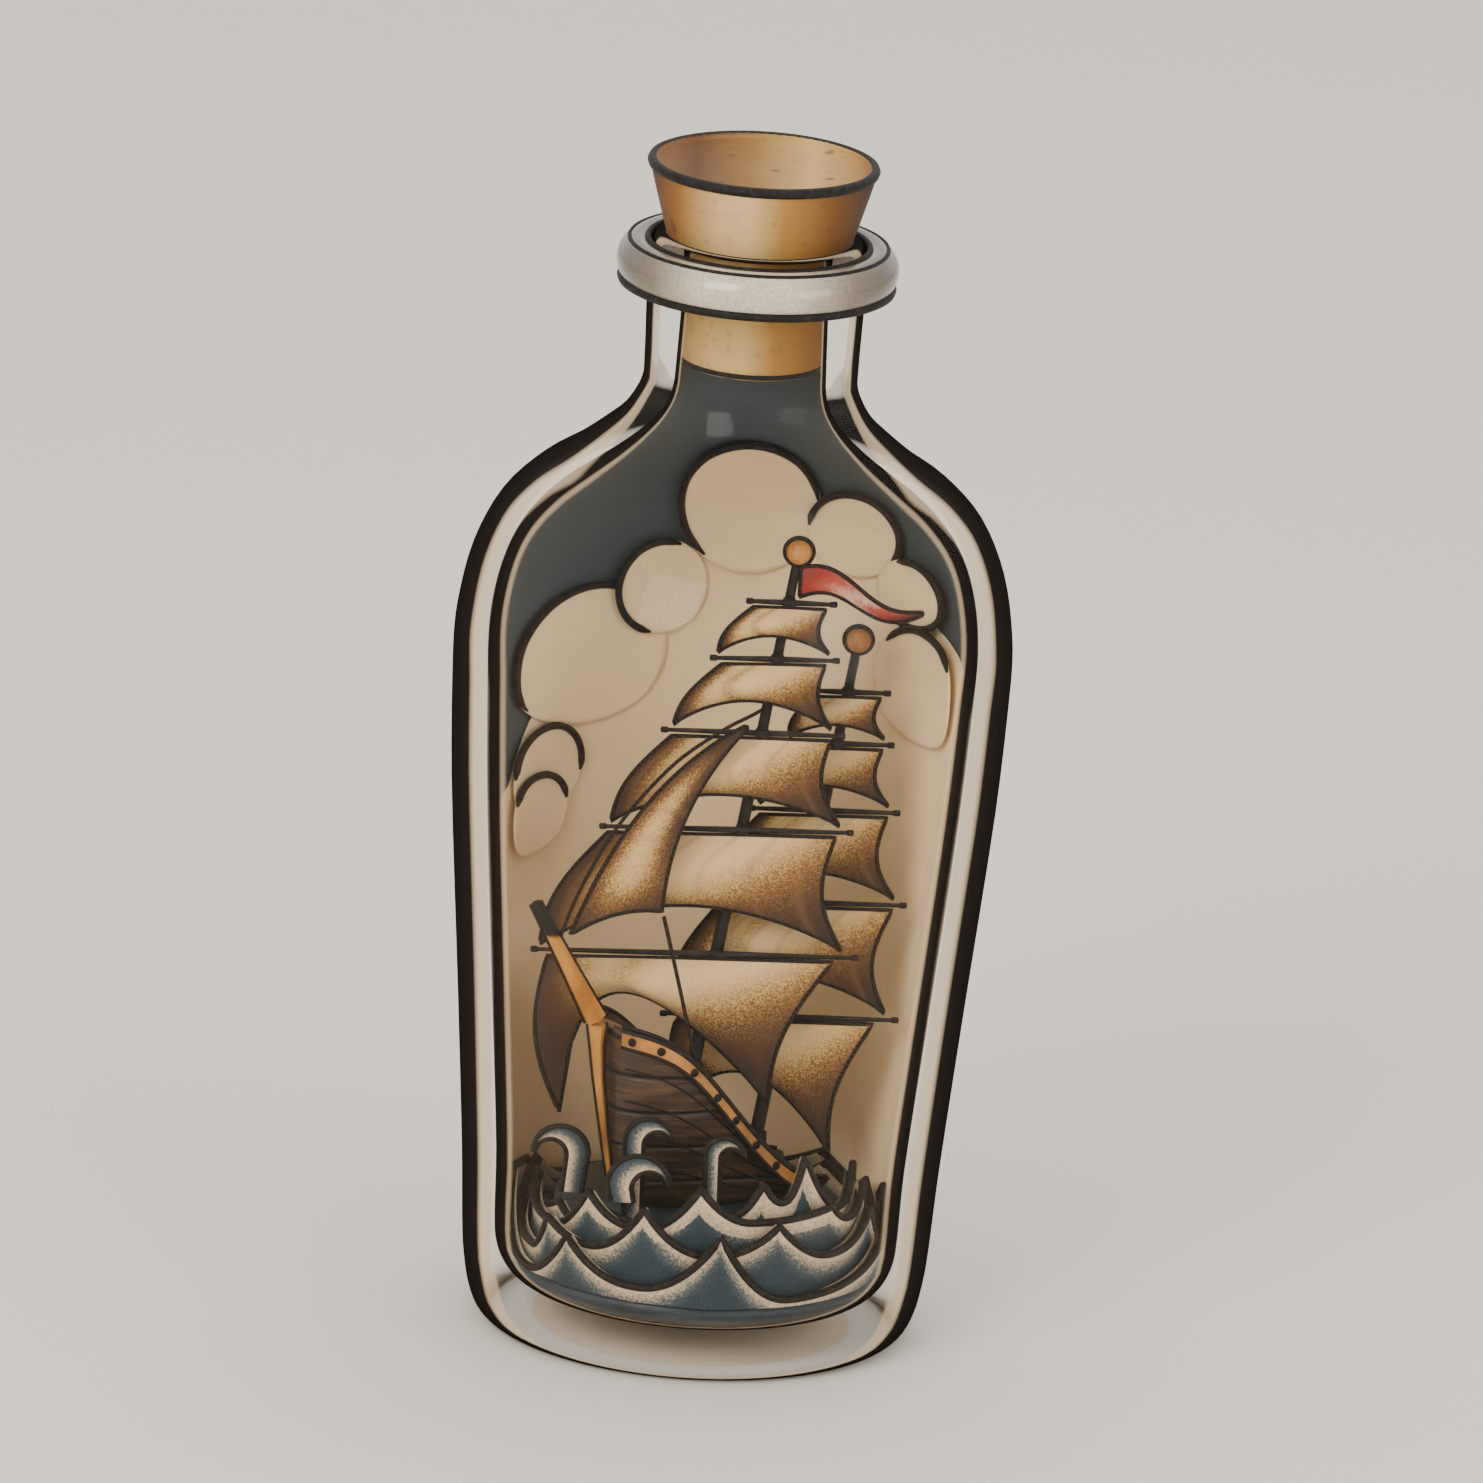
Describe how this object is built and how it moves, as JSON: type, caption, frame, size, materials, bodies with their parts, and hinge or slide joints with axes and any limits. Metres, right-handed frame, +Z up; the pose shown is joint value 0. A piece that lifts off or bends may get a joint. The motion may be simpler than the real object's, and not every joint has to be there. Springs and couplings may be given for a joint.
{
  "type": "ship in a bottle",
  "caption": "Corked, round-shouldered glass bottle holding a square-rigged two-masted sailing ship on curling waves, with a cloud and sky lining behind it",
  "frame": {"origin": "centre of the bottle's base, on the surface it stands on", "axes": "+Z up the bottle, -Y to the front that is looked at, +X to the right of that front"},
  "size_m": [0.098, 0.098, 0.2117],
  "materials": {
    "bottle_glass": "clear, warm tint",
    "ring_opal": "opal, gloss",
    "cork": "cork, oiled",
    "sky_paper": "painted, matte",
    "cloud_paper": "uncoated, matte",
    "sea_paint": "modelled and painted, satin",
    "hull_wood": "dark stained",
    "deck_wood": "scrubbed",
    "gilded_wood": "ochre gold paint",
    "black_spar": "black paint",
    "sail_cloth": "plain weave, tea-stained",
    "tarred_line": "twisted, tarred",
    "pennant_cloth": "plain weave, dyed"
  },
  "bodies": {
    "bottle": {"bottle_glass": "bottle_glass", "lip_ring": "ring_opal", "sky_backdrop": "sky_paper", "cloud_bank": "cloud_paper", "cloud_centre": "cloud_paper", "cloud_left_small": "cloud_paper", "cloud_left_big": "cloud_paper", "cloud_left_low": "cloud_paper", "cloud_left_foot": "cloud_paper", "cloud_right_high": "cloud_paper", "cloud_right_small": "cloud_paper", "cloud_right_big": "cloud_paper", "sea_base": "sea_paint", "wave_row_front": "sea_paint", "wave_row_second": "sea_paint", "wave_row_third": "sea_paint", "wave_row_inner": "sea_paint", "breaker_port_bow": "sea_paint", "breaker_starboard_bow": "sea_paint", "breaker_middle": "sea_paint", "breaker_midship": "sea_paint", "hull": "hull_wood", "bulwark_port": "hull_wood", "bulwark_starboard": "hull_wood", "deck": "deck_wood", "strake_port": "gilded_wood", "strake_starboard": "gilded_wood", "stem_post": "gilded_wood", "bowsprit": "gilded_wood", "fore_step": "black_spar", "main_step": "black_spar", "fore_stay": "tarred_line", "jib_sheet": "tarred_line", "jib": "sail_cloth"},
    "cork": {"cork_stopper": "cork"},
    "fore_mast_rig": {"fore_mast": "black_spar", "fore_truck": "gilded_wood", "pennant": "pennant_cloth"},
    "fore_yards": {"fore_course_yard": "black_spar", "fore_topsail_yard": "black_spar", "fore_topgallant_yard": "black_spar", "fore_royal_yard": "black_spar", "fore_skysail_yard": "black_spar", "fore_course": "sail_cloth", "fore_topsail": "sail_cloth", "fore_topgallant_sail": "sail_cloth", "fore_royal": "sail_cloth", "fore_skysail": "sail_cloth"},
    "main_mast_rig": {"main_mast": "black_spar", "main_truck": "gilded_wood"},
    "main_yards": {"main_course_yard": "black_spar", "main_topsail_yard": "black_spar", "main_topgallant_yard": "black_spar", "main_royal_yard": "black_spar", "main_skysail_yard": "black_spar", "main_course": "sail_cloth", "main_topsail": "sail_cloth", "main_topgallant_sail": "sail_cloth", "main_royal": "sail_cloth", "main_skysail": "sail_cloth"}
  },
  "joints": [
    {"name": "cork_pull", "type": "slide", "parent": "bottle", "child": "cork", "axis": [0, 0, 1], "range_m": [0, 0.06]},
    {"name": "fore_mast_fold", "type": "hinge", "parent": "bottle", "child": "fore_mast_rig", "pos_m": [-0.0025, -0.00007, 0.0462], "axis": [-0.5299, 0.848, 0], "range_deg": [0, 3], "deforming": ["fore_stay", "jib", "jib_sheet"]},
    {"name": "fore_yards_swing", "type": "hinge", "parent": "fore_mast_rig", "child": "fore_yards", "pos_m": [0.00048, 0.002, 0.0665], "axis": [0.1361, 0.0947, 0.9862], "range_deg": [-8, 2]},
    {"name": "main_mast_fold", "type": "hinge", "parent": "bottle", "child": "main_mast_rig", "pos_m": [0.0094, 0.00728, 0.032], "axis": [-0.5299, 0.848, 0], "range_deg": [0, 3]},
    {"name": "main_yards_swing", "type": "hinge", "parent": "main_mast_rig", "child": "main_yards", "pos_m": [0.01255, 0.00947, 0.0535], "axis": [0.1361, 0.0947, 0.9862], "range_deg": [-8, 5]}
  ]
}
